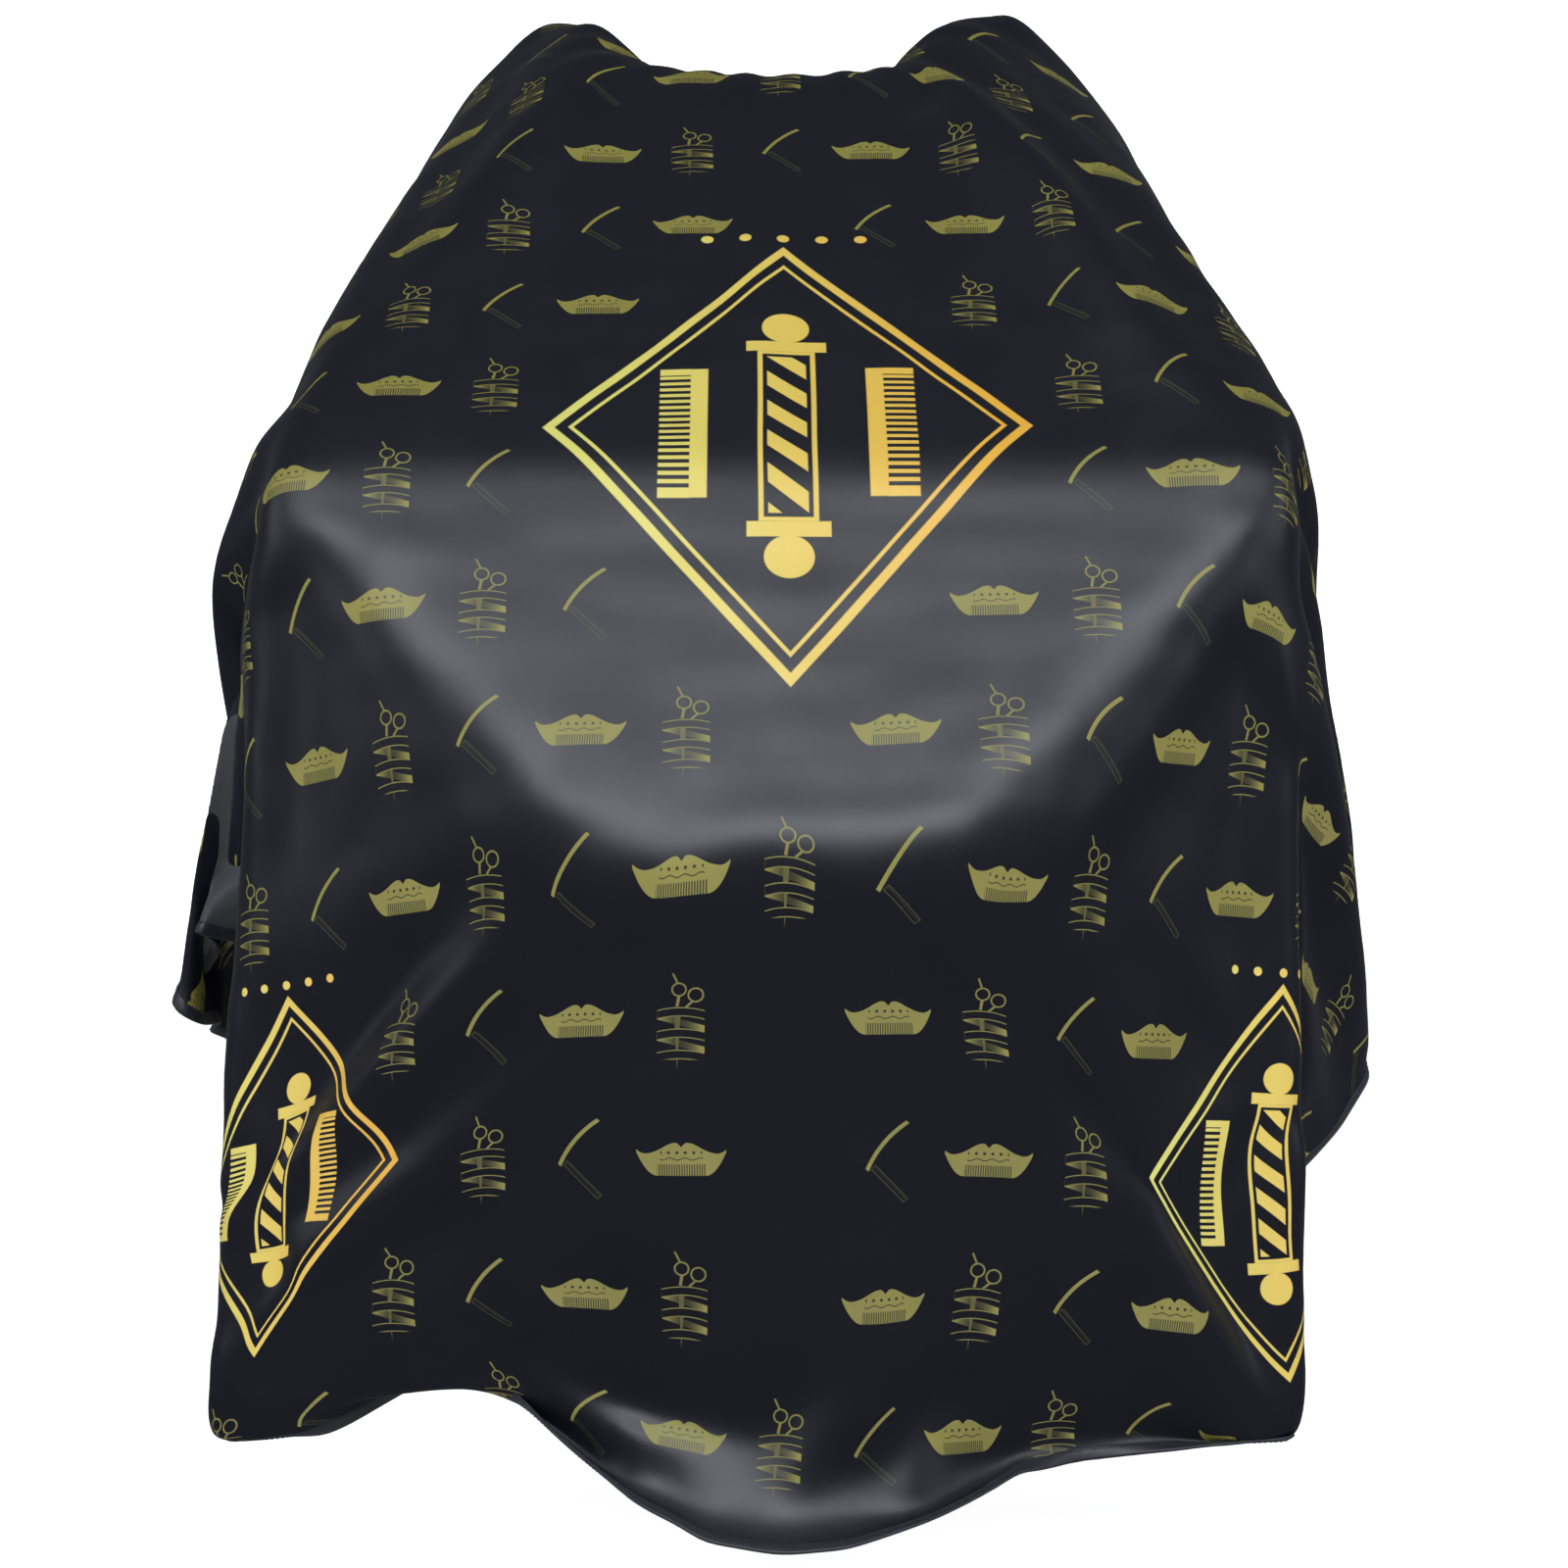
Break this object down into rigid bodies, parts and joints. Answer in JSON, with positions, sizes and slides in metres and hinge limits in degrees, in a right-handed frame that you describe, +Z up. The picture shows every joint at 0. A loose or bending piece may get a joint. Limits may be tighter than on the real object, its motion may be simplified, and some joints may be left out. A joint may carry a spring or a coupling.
{
  "type": "barber cape",
  "caption": "Lightweight printed cape draped over a seated client from neck to shins, with a stiffened neckband and a snap-fastened closure tab at the nape.",
  "frame": {"origin": "centre of the neck opening, at mid-height of the neckband", "axes": "+Z up along the neck, -Y towards the wearer's chest and knees, +Y towards the nape closure, +X towards the wearer's left"},
  "size_m": [0.8306, 0.8147, 0.9934],
  "materials": {
    "printed_cloth": "smooth water-repellent polyester with a soft sheen, small gold print",
    "hem_cloth": "narrow turned hem of the same cloth",
    "band_cloth": "plain woven black polyester",
    "lining_cloth": "soft brushed black lining",
    "interlining": "stiff non-woven interlining",
    "thread": "twisted polyester thread",
    "snap_metal": "nickel-plated pressed brass",
    "spring_wire": "drawn spring wire",
    "snap_cap": "black enamelled cap, slightly worn rim"
  },
  "bodies": {
    "cape": {"cape_panel": "printed_cloth", "bottom_hem": "hem_cloth", "side_hem_left": "hem_cloth", "side_hem_right": "hem_cloth", "back_hem_left": "hem_cloth", "back_hem_right": "hem_cloth", "slit_hem_left": "hem_cloth", "slit_hem_right": "hem_cloth", "hem_stitching": "thread", "neck_seam_tape": "band_cloth", "neckband_lining": "lining_cloth", "neckband_stiffener": "interlining", "neckband_cover": "band_cloth", "neckband_stitching": "thread", "closure_tab_base": "band_cloth", "snap_studs": "snap_metal", "snap_stud_backs": "snap_metal"},
    "closure_tab": {"closure_tab_lining": "lining_cloth", "closure_tab_stiffener": "interlining", "closure_tab_cover": "band_cloth", "closure_tab_stitching": "thread", "snap_sockets": "snap_metal", "snap_socket_springs": "spring_wire", "snap_caps": "snap_cap"}
  },
  "joints": [
    {"name": "closure_tab_peel", "type": "hinge", "parent": "cape", "child": "closure_tab", "pos_m": [-0.00243, 0.06956, 0], "axis": [0, 0, 1], "range_deg": [0, 110]}
  ]
}
